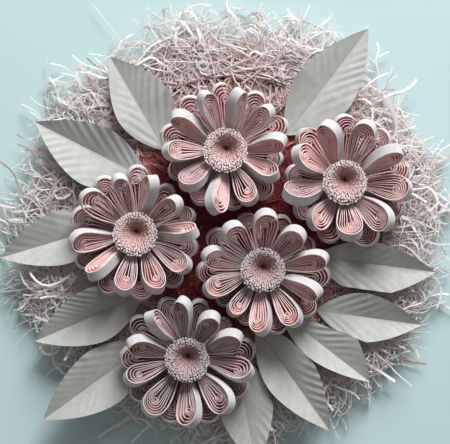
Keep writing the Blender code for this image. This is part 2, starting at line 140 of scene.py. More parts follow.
def paper_group():
    """Paper grain: soft mottling of a colour, fine fibres as a height, and a little roughness change."""
    group = bpy.data.node_groups.new("paper_grain", "ShaderNodeTree")
    group.interface.new_socket("Colour", in_out="INPUT", socket_type="NodeSocketColor")
    group.interface.new_socket("Mottle", in_out="INPUT", socket_type="NodeSocketFloat")
    group.interface.new_socket("Colour", in_out="OUTPUT", socket_type="NodeSocketColor")
    group.interface.new_socket("Height", in_out="OUTPUT", socket_type="NodeSocketFloat")
    group.interface.new_socket("Roughness", in_out="OUTPUT", socket_type="NodeSocketFloat")
    inside = group.nodes
    wire = group.links
    entry = inside.new("NodeGroupInput")
    leave = inside.new("NodeGroupOutput")
    place = inside.new("ShaderNodeTexCoord")
    cloud = inside.new("ShaderNodeTexNoise")
    cloud.inputs["Scale"].default_value = MOTTLE_SCALE
    cloud.inputs["Detail"].default_value = 4
    fibre = inside.new("ShaderNodeTexNoise")
    fibre.inputs["Scale"].default_value = FIBRE_SCALE
    fibre.inputs["Detail"].default_value = 3
    wire.new(place.outputs["Object"], cloud.inputs["Vector"])
    wire.new(place.outputs["Object"], fibre.inputs["Vector"])
    speckle = inside.new("ShaderNodeMix")
    speckle.inputs["Factor"].default_value = FIBRE_SHARE
    wire.new(cloud.outputs["Fac"], speckle.inputs["A"])
    wire.new(fibre.outputs["Fac"], speckle.inputs["B"])
    shade = inside.new("ShaderNodeMapRange")
    shade.inputs["From Min"].default_value = GRAIN_BAND[0]
    shade.inputs["From Max"].default_value = GRAIN_BAND[1]
    shade.inputs["To Max"].default_value = 1.0
    wire.new(speckle.outputs["Result"], shade.inputs["Value"])
    darkest = inside.new("ShaderNodeMath")
    darkest.operation = "SUBTRACT"
    darkest.inputs[0].default_value = 1.0
    wire.new(entry.outputs["Mottle"], darkest.inputs[1])
    wire.new(darkest.outputs["Value"], shade.inputs["To Min"])
    tint = inside.new("ShaderNodeMix")
    tint.data_type = "RGBA"
    tint.blend_type = "MULTIPLY"
    tint.inputs["Factor"].default_value = 1.0
    wire.new(entry.outputs["Colour"], tint.inputs["A"])
    wire.new(shade.outputs["Result"], tint.inputs["B"])
    wire.new(tint.outputs["Result"], leave.inputs["Colour"])
    wire.new(fibre.outputs["Fac"], leave.inputs["Height"])
    rough = inside.new("ShaderNodeMapRange")
    rough.inputs["To Min"].default_value = ROUGHNESS_BAND[0]
    rough.inputs["To Max"].default_value = ROUGHNESS_BAND[1]
    wire.new(fibre.outputs["Fac"], rough.inputs["Value"])
    wire.new(rough.outputs["Result"], leave.inputs["Roughness"])
    return group


paper_grain = paper_group()


def paper_material(name, mottle, fibre_depth, glow=0.0):
    """A material on the paper grain group, whose colour socket is left to be set or linked.

    The glow is the share of the light that enters the paper and comes out again beside it, reddened.
    """
    material, shader, made, link = matt_material(name, PAPER_ROUGHNESS)
    shader.inputs["Subsurface Weight"].default_value = glow
    shader.inputs["Subsurface Scale"].default_value = GLOW_REACH
    shader.inputs["Subsurface Radius"].default_value = GLOW_TINTS
    grain = made.new("ShaderNodeGroup")
    grain.node_tree = paper_grain
    grain.inputs["Mottle"].default_value = mottle
    bump = made.new("ShaderNodeBump")
    bump.inputs["Distance"].default_value = fibre_depth
    bump.inputs["Strength"].default_value = FIBRE_STRENGTH
    link.new(grain.outputs["Height"], bump.inputs["Height"])
    link.new(grain.outputs["Colour"], shader.inputs["Base Color"])
    link.new(grain.outputs["Roughness"], shader.inputs["Roughness"])
    link.new(bump.outputs["Normal"], shader.inputs["Normal"])
    return material, grain.inputs["Colour"], made, link


board_card, board_color, made, link = paper_material("board_card", mottle=0.25, fibre_depth=0.00008)
board_color.default_value = BOARD_COLOR
nodes["base_board"].data.materials.clear()
nodes["base_board"].data.materials.append(board_card)

# Coiled petals
# Each petal is one 5 mm paper strip rolled on edge, let open and pinched at the flower's centre. The
# turns fan out from the pinch and close in round the coil's eye. Two layers make a flower.
PETAL_LENGTH = 0.0285
PETAL_WIDTH = 0.0140
STRIP_WIDTH = 0.0050
PETAL_WALL = 0.00045
HUB_RADIUS = 0.0060
LOWER_HUB_SHARE = 0.84
SEAT_GAP = 0.0003
LAYER_RISE = 1.25 * STRIP_WIDTH
ROLL_ROOT_SHARE = 0.35
LOOP_FULLNESS_SHARE = 0.712
PINCH_POWER = 1.5
NARROWEST_PETAL_SHARE = 0.5
LOOP_TESTS = np.radians(np.arange(20, 345, 15))
PLANE_SHARES = (0.42, 0.5, 0.58)
PLANE_TILTS = range(-50, 51, 10)
FLOWERS = ("left", "top", "right", "middle", "bottom")
# Painted shade for each flower, in the order above: how far its petals and its fringe are darkened and
# cooled, most on the bottom flower.
PETAL_PAINTED_SHADE = (0.1, 0.0, 0.0, 0.1, 1.0)
FRINGE_PAINTED_SHADE = (0.0, 0.0, 0.2, 0.6, 0.8)
# A row for each flower, with (azimuth, lift, roll) in degrees for each upper petal.
UPPER_PETALS = (
    ((142, 30, 0), (105, 38, 5), (71, 40, -55), (36, 46, -5), (2, 36, -55), (-33, 32, 0), (-68, 36, -20),
     (-102, 40, 0), (-137, 36, 52), (-174, 30, -26)),
    ((110, 38, 24), (76, 38, 58), (42, 38, -8), (8, 36, 40), (-27, 32, -28), (-64, 28, 0), (-100, 34, -42),
     (-140, 34, 34), (180, 38, 8), (145, 36, -42)),
    ((147, 36, 30), (107, 36, -46), (68, 34, -8), (31, 36, 52), (-7, 28, -5), (-46, 34, 30), (-86, 44, 0),
     (-126, 28, -20), (-167, 36, 48)),
    ((165, 34, -20), (127, 44, 0), (86, 40, 8), (46, 42, 10), (10, 30, 24), (-24, 34, 44), (-59, 30, 14),
     (-93, 32, 24), (-126, 28, 0), (-160, 28, 8)),
    ((162, 38, -30), (128, 38, 58), (94, 36, -26), (59, 44, 16), (25, 36, 30), (-11, 28, -26), (-50, 32, 24),
     (-89, 28, 30), (-127, 28, 0), (-164, 30, 18)),
)
LOWER_LIFTS = (16, 18, 15)
LOWER_ROLLS = (-10, 7, 12, -6)
UP = np.array((0.0, 0.0, 1.0))


def heading(azimuth):
    """Level unit vectors (cos a, sin a, 0) for azimuths a in degrees."""
    turn = np.radians(azimuth)
    return np.stack((np.cos(turn), np.sin(turn), np.zeros_like(turn)), axis=-1)


def flower_middle(flower):
    """The axis of a flower, from its packed fringe, and the level of its upper petals' roots."""
    low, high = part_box(flower + "_flower_fringe")
    level = low.z - SEAT_GAP - STRIP_WIDTH / 2
    return np.array(((low.x + high.x) / 2, (low.y + high.y) / 2, level))


class Petal:
    """A teardrop coil on its flower's hub, with azimuth, lift and roll in degrees."""

    def __init__(self, centre, hub, azimuth, lift, roll):
        self.centre, self.azimuth, self.lift, self.roll = centre, azimuth, lift, roll
        self.root = centre + heading(azimuth) * hub
        self.length, self.width = PETAL_LENGTH, PETAL_WIDTH

    def axes(self, along):
        """Outward, across and up the strip, at distances along it: roll grows evenly from the root."""
        level, side, lift = heading(self.azimuth), heading(self.azimuth + 90), math.radians(self.lift)
        roll = math.radians(self.roll) * np.minimum(np.asarray(along) / (ROLL_ROOT_SHARE * self.length), 1)
        outward = level * math.cos(lift) + UP * math.sin(lift)
        upright = UP * math.cos(lift) - level * math.sin(lift)
        across = side * np.cos(roll)[..., None] + upright * np.sin(roll)[..., None]
        upward = upright * np.cos(roll)[..., None] - side * np.sin(roll)[..., None]
        return outward, across, upward

    def place(self, along, sideways, height):
        """root + along * outward + sideways * across + height * upward, for arrays of each."""
        outward, across, upward = self.axes(along)
        return (self.root + outward * along[..., None] + across * sideways[..., None]
                + upward * height[..., None])

    def loop_tests(self):
        """Points round the open loop: u = L (1 - cos t) / 2, v = W k sin t sin(t / 2) ^ p."""
        along = self.length * (1 - np.cos(LOOP_TESTS)) / 2
        sideways = (self.width * LOOP_FULLNESS_SHARE * np.sin(LOOP_TESTS)
                    * np.sin(LOOP_TESTS / 2) ** PINCH_POWER)
        return along, sideways

    def width_behind(self, point, normal):
        """The share of its width that the petal keeps behind a plane running out beside it."""
        along, sideways = self.loop_tests()
        outward, across, upward = self.axes(along)
        edge = np.abs(upward @ normal) * STRIP_WIDTH / 2 + PETAL_WALL / 2
        room = (point - self.root - outward * along[:, None]) @ normal - edge
        reach = (across @ normal) * sideways
        return min(1, (room[reach > 0] / reach[reach > 0]).min(initial=1))

    def fit_length(self, point, normal):
        """Shorten the petal until it stays behind a plane across its way."""
        for index in range(len(LOOP_TESTS)):
            along, sideways = self.loop_tests()
            outward, across, upward = self.axes(along)
            edge = abs(upward[index] @ normal) * STRIP_WIDTH / 2 + PETAL_WALL / 2
            room = (point - self.root) @ normal - edge
            reach = (outward * along[index] + across[index] * sideways[index]) @ normal
            if reach > room:
                self.length *= max(room / reach, NARROWEST_PETAL_SHARE)
                self.width *= max(room / reach, NARROWEST_PETAL_SHARE)


def fit_petals(flower, petals):
    """Keep petals behind the planes halfway to the other flowers and to their neighbours."""
    for other in FLOWERS:
        if other != flower:
            for petal in petals:
                far = flower_middle(other)
                far[2] = petal.centre[2]
                normal = (far - petal.centre) / np.linalg.norm(far - petal.centre)
                petal.fit_length((petal.centre + far) / 2 - normal * SEAT_GAP / 2, normal)
    widths = [petal.width for petal in petals]
    for index, this in enumerate(petals):
        after = (index + 1) % len(petals)
        following = petals[after]
        turn = (following.azimuth - this.azimuth) % 360
        best = (NARROWEST_PETAL_SHARE, NARROWEST_PETAL_SHARE)
        for share in PLANE_SHARES:
            for tilt in PLANE_TILTS:
                hub = np.linalg.norm(this.root - this.centre)
                between = Petal(this.centre, hub, this.azimuth + turn * share,
                                (this.lift + following.lift) / 2, tilt)
                across = between.axes(between.length)[1]
                shares = (this.width_behind(between.root - across * SEAT_GAP / 2, across),
                          following.width_behind(between.root + across * SEAT_GAP / 2, -across))
                best = max(best, shares, key=min)
        widths[index] = min(widths[index], this.width * best[0])
        widths[after] = min(widths[after], following.width * best[1])
    for petal, width in zip(petals, widths):
        petal.width = width


def flower_petals(flower):
    """The lower and the upper layer of a flower's petals, fitted clear of each other."""
    middle = flower_middle(flower)
    rows = sorted(UPPER_PETALS[FLOWERS.index(flower)], key=lambda row: row[0] % 360)
    upper = [Petal(middle, HUB_RADIUS, *row) for row in rows]
    azimuths = [row[0] % 360 for row in rows]
    lower = []
    for index, (this, after) in enumerate(zip(azimuths, azimuths[1:] + azimuths[:1])):
        lower.append(Petal(middle - UP * LAYER_RISE, HUB_RADIUS * LOWER_HUB_SHARE,
                           this + (after - this) % 360 / 2, LOWER_LIFTS[index % len(LOWER_LIFTS)],
                           LOWER_ROLLS[index % len(LOWER_ROLLS)]))
    fit_petals(flower, upper)
    fit_petals(flower, lower)
    return lower, upper


VISIBLE_STRIP = 0.00025
STEPS_A_TURN = 32
RING_STEPS = 20
FAR_STEP_POWER = 1.5
EYE_SHARE = 0.725
FAR_RADIUS_SHARE = 0.485
DISC_SHARE = 0.17
RING_SHARE = 0.115
HOLE_SHARE = 0.035
RING_TURNS = 1.25
TIGHTEN_SHARE = 0.80
INNER_SPOKE_SHARE = 0.20
GATHER_POWERS = (0.85, 1.35)
ROUNDING_PACE = 2.5
PINCH_STEP_SHARE = 0.008
DEEPEST_SHARE = 0.16
EYE_DRIFT_SHARES = (0.05, 0.14)
SLACK_SHARES = (0.0, 0.07)
COIL_LOOPS = 4
LOWER_SINKS = (0.0, 0.08)
UPPER_SINKS = (0.0, 0.17)
SINK_START = 0.85
SINK_TURNS = 0.6
SINK_POWER = 0.7
THINNING_TURNS = (0.8, 1.1)
OUTSIDE_END = 1.15
OUTSIDE_FADE = 0.15
SHARP_STRIP_ANGLE = math.radians(50)
# Painted light: the outer face of the outermost turn takes a dim neutral grey-white in place of the paper's
# pink, the washed-out look of the strongly lit outer walls.
PAINTED_OUTER_WALL_COLOR = (0.555, 0.54, 0.54, 1)
# The cool grey that the painted shade of the lower flowers multiplies in.
PAINTED_SHADE_TINT = (0.68, 0.75, 0.765, 1)
COIL_SEED = 5


def tube_faces(count, first):
    """Quads of a four-cornered strip of count sections, whose corners follow each other, and its two ends."""
    step = np.arange(count - 1)[:, None]
    corner = np.arange(4)[None, :]
    turn = (corner + 1) % 4
    near = first + 4 * step
    sides = np.stack((near + corner, near + turn, near + turn + 4, near + corner + 4), axis=-1)
    last = first + 4 * (count - 1)
    ends = np.array(((first + 3, first + 2, first + 1, first), (last, last + 1, last + 2, last + 3)))
    return np.concatenate((sides.reshape(-1, 4), ends))


def coil_line(petal, loops, slack, drift, gather):
    """The strip's run (turn, u, v) from its outer end to the eye of the coil.

    Each loop leaves the pinch, rounds a circle (distance d, radius r) and comes back: v = a tan(asin(r / d))
    up to a = d cos^2, then sqrt(r^2 - (a - d)^2). Over the first loops the circles shrink to a disc round
    the eye and swing to its side, at a pace set by the power gather. The spokes of the last ones reach
    the disc from inside, and the last half loop passes into rings. The outermost loop is the petal's own.
    """
    turn = np.linspace(0, loops, int(loops * STEPS_A_TURN) + 1)
    back = 1 - np.abs(1 - 2 * (turn % 1))
    swing = (1 + np.cos(math.pi * (1 - back) ** FAR_STEP_POWER)) / 2
    side = np.where(turn % 1 < 0.5, 1, -1)
    share = np.minimum(turn / loops / TIGHTEN_SHARE, 1) ** gather
    inner = np.maximum((turn / loops - TIGHTEN_SHARE) / (1 - TIGHTEN_SHARE), 0)
    ring, disc = RING_SHARE * petal.width, DISC_SHARE * petal.width
    eye = EYE_SHARE * petal.length
    far_radius = FAR_RADIUS_SHARE * petal.width
    radius = far_radius + (disc - far_radius) * share + (ring - disc) * inner
    slackened = petal.length * (1 - slack * np.minimum(turn, 1))
    far = slackened + (eye + disc - petal.length * (1 - slack)) * share + (ring - disc) * inner
    centre = far - radius
    near = PINCH_STEP_SHARE * petal.length * turn
    along = near + (far - near) * swing
    lean = np.arcsin(radius / centre)
    round_part = np.sqrt(np.maximum(radius ** 2 - (along - centre) ** 2, 0))
    spoke = along * np.tan(lean) * (1 - (1 - INNER_SPOKE_SHARE) * inner)
    rounded = np.where(along < centre * np.cos(lean) ** 2, np.maximum(spoke, round_part), round_part)
    angle = np.arccos(1 - 2 * swing)
    own = (petal.width * LOOP_FULLNESS_SHARE * radius / far_radius * np.sin(angle)
           * np.sin(angle / 2) ** PINCH_POWER)
    blend = np.minimum(share * ROUNDING_PACE, 1)
    sideways = side * (own + (rounded - own) * blend)
    bearing = drift * petal.width / eye * share
    ring_turn = np.linspace(0, RING_TURNS, int(RING_TURNS * RING_STEPS) + 1)[1:]
    ring_radius = ring - (RING_SHARE - HOLE_SHARE) * petal.width * ring_turn / RING_TURNS
    ring_along = eye + ring_radius * np.cos(2 * math.pi * ring_turn)
    ring_sideways = drift * petal.width - ring_radius * np.sin(2 * math.pi * ring_turn)
    return (np.concatenate((turn, loops + ring_turn)),
            np.concatenate((along * np.cos(bearing) - sideways * np.sin(bearing), ring_along)),
            np.concatenate((along * np.sin(bearing) + sideways * np.cos(bearing), ring_sideways)))


def coil_sections(petal, loops, sink, slack, drift, gather):
    """Corner points, rise and outside marks of a petal's strip.

    The first turn is as thick as the pressed wall. The turns behind it are thin and lie sunk.
    """
    turn, along, sideways = coil_line(petal, loops, slack, drift, gather)
    run = np.gradient(along)
    pull = np.gradient(sideways)
    pace = np.hypot(run, pull) + 1e-12
    sheet = np.interp(turn, THINNING_TURNS, (PETAL_WALL, VISIBLE_STRIP))
    across_u = -pull / pace * sheet / 2
    across_v = run / pace * sheet / 2
    drop = sink * STRIP_WIDTH * np.clip((turn - SINK_START) / SINK_TURNS, 0, 1) ** SINK_POWER
    low = -STRIP_WIDTH / 2 - np.minimum(drop, DEEPEST_SHARE * STRIP_WIDTH)
    high = STRIP_WIDTH / 2 - drop
    corners = np.stack((petal.place(along - across_u, sideways - across_v, low),
                        petal.place(along + across_u, sideways + across_v, low),
                        petal.place(along + across_u, sideways + across_v, high),
                        petal.place(along - across_u, sideways - across_v, high)), axis=1)
    rise = np.tile((0.0, 0.0, 1.0, 1.0), (len(turn), 1))
    outer = np.clip((OUTSIDE_END - turn) / OUTSIDE_FADE, 0, 1)
    outside = outer[:, None] * np.array((0.0, 1.0, 1.0, 0.0))
    return corners, rise, outside


def set_mark(piece, name, values):
    """Store one number per point as an attribute that the material reads."""
    mark = piece.data.attributes.new(name, "FLOAT", "POINT")
    mark.data.foreach_set("value", np.asarray(values, dtype=np.float32).ravel())


def petal_layer(name, petals, sinks):
    """One layer of coiled petals as one piece, each coil a little different in sink, slack and eye."""
    points, faces, rises, outsides = [], [], [], []
    first = 0
    for petal in petals:
        corners, rise, outside = coil_sections(petal, COIL_LOOPS + coils.integers(2) + 0.5,
                                               coils.uniform(*sinks), coils.uniform(*SLACK_SHARES),
                                               coils.choice((-1, 1)) * coils.uniform(*EYE_DRIFT_SHARES),
                                               coils.uniform(*GATHER_POWERS))
        points.append(corners.reshape(-1, 3))
        rises.append(rise.ravel())
        outsides.append(outside.ravel())
        faces.append(tube_faces(len(corners), first))
        first += corners.shape[0] * 4
    piece = mesh_piece(name, np.concatenate(points), np.concatenate(faces).tolist(), smooth=True)
    piece.data.set_sharp_from_angle(angle=SHARP_STRIP_ANGLE)
    set_mark(piece, "rise", np.concatenate(rises))
    set_mark(piece, "outside", np.concatenate(outsides))
    return piece


def ramp(made, link, source, stops):
    """A colour ramp on a value, from (position, colour) stops."""
    node = made.new("ShaderNodeValToRGB")
    while len(node.color_ramp.elements) < len(stops):
        node.color_ramp.elements.new(0.5)
    for element, (position, color) in zip(node.color_ramp.elements, stops):
        element.position = position
        element.color = color
    link.new(source, node.inputs["Fac"])
    return node.outputs["Color"]


def mark_value(made, name):
    """The value of a point attribute."""
    node = made.new("ShaderNodeAttribute")
    node.attribute_name = name
    return node.outputs["Fac"]


def tinted(made, link, mark, color, tint, blend="MIX"):
    """A colour that passes into a tint, or into their product, as far as a point attribute says."""
    node = made.new("ShaderNodeMix")
    node.data_type = "RGBA"
    node.blend_type = blend
    node.inputs["B"].default_value = tint
    link.new(mark_value(made, mark), node.inputs["Factor"])
    link.new(color, node.inputs["A"])
    return node.outputs["Result"]


petal_paper, petal_color, made, link = paper_material("petal_paper", mottle=0.17, fibre_depth=0.00003,
                                                      glow=0.7)
# Painted shade: by the rise mark, each strip darkens and reddens from its pale pink top edge down into the
# coil, where shade and light bounced between the pink turns fall.
painted_depth_shade = ramp(made, link, mark_value(made, "rise"),
                   ((0.0, (0.56, 0.10, 0.10, 1)), (0.45, (0.74, 0.31, 0.305, 1)),
                    (0.8, (0.94, 0.585, 0.57, 1)), (1.0, (0.95, 0.69, 0.675, 1))))
# Painted shade: the lower flowers' petals are multiplied towards a cool grey, as far as each flower's shade
# value says.
flower_shaded_color = tinted(made, link, "painted_shade", painted_depth_shade, PAINTED_SHADE_TINT, "MULTIPLY")
# Painted light on the outer walls: the outer face of the outermost turn is mixed to the neutral grey-white.
link.new(tinted(made, link, "outside", flower_shaded_color, PAINTED_OUTER_WALL_COLOR), petal_color)

coils = np.random.default_rng(COIL_SEED)
for flower, painted_shade in zip(FLOWERS, PETAL_PAINTED_SHADE):
    lower, upper = flower_petals(flower)
    for layer, petals, sinks in (("lower_petals", lower, LOWER_SINKS), ("upper_petals", upper, UPPER_SINKS)):
        piece = petal_layer(f"{flower}_{layer}_coils", petals, sinks)
        set_mark(piece, "painted_shade", np.full(len(piece.data.vertices), painted_shade))
        piece.data.materials.append(petal_paper)
        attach(piece, "root")
        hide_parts(f"{flower}_flower_{layer}")

# Fringed centres
# A strip cut into a fine fringe, rolled up tight and splayed open by hand into a bowl whose outer
# teeth curl over. It is glued in the middle of the upper petals.
FRINGE_ROW_SHARES = (0.22, 0.29, 0.36, 0.43, 0.51, 0.59, 0.67, 0.76, 0.85, 0.94, 1.03)
FINE_PITCH = 0.00075
COARSE_PITCH = 0.00150
TOOTH_FILL_SHARE = 0.72
TOOTH_THICKNESS = 0.00030
TOOTH_REACH = 0.00135
TOOTH_HEIGHT = 0.0030
TOOTH_STEPS = 6
ROLL_RADIUS = 0.0034
FRINGE_LEAN = np.array((0.0005, 0.0019, 0.0))
BOWL_FLOOR = 0.30
BOWL_CLIMB = 0.69
BOWL_CLIMB_SHARES = (0.2, 0.65)
BOWL_POWER = 1.15
RIM_DROP = 0.09
RIM_DROP_SHARES = (0.9, 0.13)
TOOTH_TURN = 0.16
TIP_REACH_SHARES = (-0.28, 0.22)
TIP_RISES = (-0.00028, 0.00022)
TIP_CURL = 0.00035
ROLL_AXIS_GAP = 0.00030
FOOT_GAP = 0.0002
ROOT_WIDTH_SHARE = 0.75
# Painted shade levels: how far up the colour ramp the innermost teeth and the rolled body reach; lower is
# darker.
INNER_SHADED_RISE = 0.45
BODY_SHADED_RISE = 0.1
BODY_SIDES = 24
TOOTH_SEED = 11
tooth_spread = np.random.default_rng(TOOTH_SEED)


def bowl_height(share):
    """Height of the splayed bowl over its foot, by share of radius: steep inside, level at the rim."""
    climb = np.clip((share - BOWL_CLIMB_SHARES[0]) / BOWL_CLIMB_SHARES[1], 0, 1)
    drop = np.clip((share - RIM_DROP_SHARES[0]) / RIM_DROP_SHARES[1], 0, 1)
    return BOWL_FLOOR + BOWL_CLIMB * np.sin(climb * math.pi / 2) ** BOWL_POWER - RIM_DROP * drop


def fringe_teeth(flower):
    """Teeth in rows round the bowl, each a strip on a quadratic curve that climbs and then curls level.

    The radius runs r0 (1 - s^2) + r1 s^2 and the height z0 (1 - s)^2 + 2 (z1 + curl) s (1 - s) + z1 s^2.
    """
    low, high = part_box(flower + "_flower_fringe")
    centre = np.array(((low.x + high.x) / 2, (low.y + high.y) / 2, low.z))
    radius = (high.x - low.x + high.y - low.y) / 4
    height = high.z - low.z
    points, rises = [], []
    for row, share in enumerate(FRINGE_ROW_SHARES):
        pitch = FINE_PITCH + (COARSE_PITCH - FINE_PITCH) * (share - FRINGE_ROW_SHARES[0])
        count = int(2 * math.pi * radius * share / pitch)
        azimuth = (np.arange(count) + 0.5 * (row % 2)
                   + tooth_spread.uniform(-TOOTH_TURN, TOOTH_TURN, count)) * 360 / count
        tip_r = radius * share + pitch * tooth_spread.uniform(*TIP_REACH_SHARES, count)
        tip_z = height * bowl_height(share) + tooth_spread.uniform(*TIP_RISES, count)
        root_r = np.maximum(tip_r - TOOTH_REACH, ROLL_AXIS_GAP)
        root_z = np.maximum(tip_z - TOOTH_HEIGHT, FOOT_GAP)
        step = np.linspace(0, 1, TOOTH_STEPS)[None, :]
        path_r = (1 - step ** 2) * root_r[:, None] + step ** 2 * tip_r[:, None]
        path_z = ((1 - step) ** 2 * root_z[:, None] + 2 * step * (1 - step) * (tip_z + TIP_CURL)[:, None]
                  + step ** 2 * tip_z[:, None])
        slope = np.arctan2(np.gradient(path_z, axis=1), np.gradient(path_r, axis=1))
        outward, side = heading(azimuth)[:, None, :], heading(azimuth + 90)[:, None, :]
        middle = centre + FRINGE_LEAN * (1 - share) + outward * path_r[..., None] + UP * path_z[..., None]
        normal = (UP * np.cos(slope)[..., None] - outward * np.sin(slope)[..., None]) * TOOTH_THICKNESS / 2
        widen = np.broadcast_to((ROOT_WIDTH_SHARE + (1 - ROOT_WIDTH_SHARE) * step[..., None])
                                * TOOTH_FILL_SHARE * pitch / 2, middle.shape[:2] + (1,))
        points.append(np.stack((middle - side * widen - normal, middle + side * widen - normal,
                                middle + side * widen + normal, middle - side * widen + normal), axis=2))
        # Painted shade: each tooth darkens towards its root, and the inner rows more, so the bowl darkens
        # into its middle.
        shaded_rise = np.broadcast_to(step * (INNER_SHADED_RISE + (1 - INNER_SHADED_RISE) * share), path_r.shape)
        rises.append(np.repeat(shaded_rise[..., None], 4, axis=2))
    return np.concatenate(points), np.concatenate(rises), centre, radius, height


def fringe_body(centre, radius, height):
    """The rolled, uncut foot of the fringe: a lathed profile of (radius, height, lean) under the teeth."""
    profile = np.array(((0.0001, 0, 0), (ROLL_RADIUS, 0, 0), (ROLL_RADIUS, height * 0.30, 0),
                        (radius * 0.78, height * 0.66, 0.1), (radius * 0.74, height * 0.70, 0.26),
                        (radius * 0.45, height * 0.50, 0.55), (radius * 0.16, height * 0.16, 0.84),
                        (0.0001, height * 0.14, 0.9)))
    outward = heading(np.arange(BODY_SIDES) * 360 / BODY_SIDES)
    points = (centre + outward[None] * profile[:, 0, None, None] + UP * profile[:, 1, None, None]
              + FRINGE_LEAN * profile[:, 2, None, None])
    ring = np.arange(len(profile) - 1)[:, None] * BODY_SIDES
    after = ring + BODY_SIDES
    sector = np.arange(BODY_SIDES)[None, :]
    turn = (sector + 1) % BODY_SIDES
    faces = np.stack((ring + sector, ring + turn, after + turn, after + sector), axis=-1)
    return points.reshape(-1, 3), faces.reshape(-1, 4)


def strip_faces(steps, count):
    """The faces of many strips of so many sections each, whose points follow each other."""
    first = 4 * steps * np.arange(count)[:, None, None]
    return (tube_faces(steps, 0)[None] + first).reshape(-1, 4)


fringe_paper, fringe_color, made, link = paper_material("fringe_paper", mottle=0.12, fibre_depth=0.00003)
# Painted shade: the fringe paper runs from pale pink at the tooth tips to dark red at the roots and in the
# rolled body.
painted_tooth_shade = ramp(made, link, mark_value(made, "rise"),
                   ((0.0, (0.24, 0.07, 0.07, 1)), (0.4, (0.52, 0.29, 0.275, 1)),
                    (0.7, (0.74, 0.57, 0.55, 1)), (0.98, (0.90, 0.80, 0.78, 1))))
# Painted shade: the lower flowers' fringes are multiplied towards the same cool grey.
link.new(tinted(made, link, "painted_shade", painted_tooth_shade, PAINTED_SHADE_TINT, "MULTIPLY"), fringe_color)

for flower, painted_shade in zip(FLOWERS, FRINGE_PAINTED_SHADE):
    teeth, rises, centre, radius, height = fringe_teeth(flower)
    body, body_faces = fringe_body(centre, radius, height)
    tooth_points = teeth.reshape(-1, 3)
    piece = mesh_piece(f"{flower}_fringe_teeth", np.concatenate((tooth_points, body)),
                       np.concatenate((strip_faces(TOOTH_STEPS, len(teeth)),
                                       body_faces + len(tooth_points))).tolist())
    set_mark(piece, "rise", np.concatenate((rises.ravel(), np.full(len(body), BODY_SHADED_RISE))))
    set_mark(piece, "painted_shade", np.full(len(piece.data.vertices), painted_shade))
    piece.data.materials.append(fringe_paper)
    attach(piece, "root")
    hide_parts(f"{flower}_flower_fringe")

# Folded leaves
# Each leaf is a lance cut from one sheet, folded up from its midrib and scored with slanting veins
# that are pinched into soft pleats. The stems are glued to the nest under the flowers.
FLOWER_PITCH = 2 * PETAL_LENGTH
LEAF_LENGTH = 0.0600
LEAF_WIDTH = 0.0260
LEAF_SHEET = 0.00035
# A row for each leaf: its stem's place as shares of the flowers' pitch, azimuth, length share, fold and
# climb in degrees, and the width shares of its left and right half.
LEAF_SHARES = (
    (-0.581, 0.623, 120.6, 0.853, 20, 4, 0.92, 1.23), (-0.739, 0.391, 153.2, 0.98, 26, 2, 1.25, 0.98),
    (-1.028, 0.006, 196.8, 0.92, 22, 2, 0.92, 1.04), (-0.766, -0.575, 203.5, 0.93, 26, 3, 1.0, 1.0),
    (-0.716, -0.971, 216.5, 1.04, 24, 3, 1.10, 1.03), (0.016, -1.070, -80.3, 0.90, 16, 2, 1.0, 1.0),
    (0.180, -0.854, -54.6, 1.00, 27, 2, 0.96, 0.92), (0.377, -0.723, -38.0, 0.90, 25, 3, 1.23, 0.65),
    (0.682, -0.709, -8.0, 0.837, 24, 1, 0.87, 0.90), (0.670, -0.260, -7.5, 0.96, 24, 2, 0.80, 1.17),
    (0.421, 0.751, 52.0, 1.06, 21, 3, 1.03, 1.22),
)
LEAF_VEIN_SHARE = 0.07
LEAF_WIDEST_SHARE = 0.44
LEAF_STEM_POWER = 0.8
LEAF_TIP_POWER = 1.7
LEAF_PRESSED_SHARE = 0.45
LEAF_REACH_SHARES = (0.5, 0.6)
VEIN_PITCH = 0.0056
VEIN_DEPTH = 0.00031
VEIN_SLANT = 1.5
VEIN_PITCH_SHARES = (0.8, 1.3)
VEIN_SHARPNESS = 0.97
VEIN_SWAY = 0.22
VEIN_SWAY_BEATS = (7, 13)
EVEN_DEPTH_SHARE = 0.55
DEPTH_BEATS = (3, 8)
FLAT_MIDRIB_RATE = 2.2
BUCKLE_DEPTH = 0.0005
BUCKLE_BEATS = (6, 9)
MIDRIB_RATE = 16
# Painted shade along the midrib's valley and on the vein pleats: its width and strength.
CREST_SHARE = 0.8
CREST_SHADE = 2.0
NARROWEST_HALF = 0.00002
SHARP_LEAF_ANGLE = math.radians(40)
VEIN_SEED = 3
ALONG_STEPS = 96
ACROSS_STEPS = 18
nest_low, nest_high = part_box("shred_nest")
leaf_level = nest_high.z + SEAT_GAP


def leaf_line(row):
    """A leaf's stem and its level run to the tip."""
    run = heading(row[2]) * LEAF_LENGTH * row[3] * math.cos(math.radians(row[5]))
    return np.array((row[0] * FLOWER_PITCH, row[1] * FLOWER_PITCH, leaf_level)), run


def way_to_leaf(spots, row):
    """Level ways from points to the nearest place on a leaf's midrib, and that place's share along it."""
    stem, run = leaf_line(row)
    reach = np.clip(((spots - stem) @ run) / (run @ run), 0, 1)
    away = stem + run * reach[..., None] - spots
    return away * (1, 1, 0), reach


def leaf_outline(share):
    """The half width of a free leaf: W / 2 sin(pi s / 2 m)^0.8 up to the widest place m, then
    W / 2 (1 - ((s - m) / (1 - m))^1.7) to the tip."""
    share = np.clip(share, 0, 1)
    stem_side = np.sin(math.pi / 2 * np.minimum(share / LEAF_WIDEST_SHARE, 1)) ** LEAF_STEM_POWER
    tip_side = 1 - np.clip((share - LEAF_WIDEST_SHARE) / (1 - LEAF_WIDEST_SHARE), 0, 1) ** LEAF_TIP_POWER
    return LEAF_WIDTH / 2 * np.minimum(stem_side, tip_side)


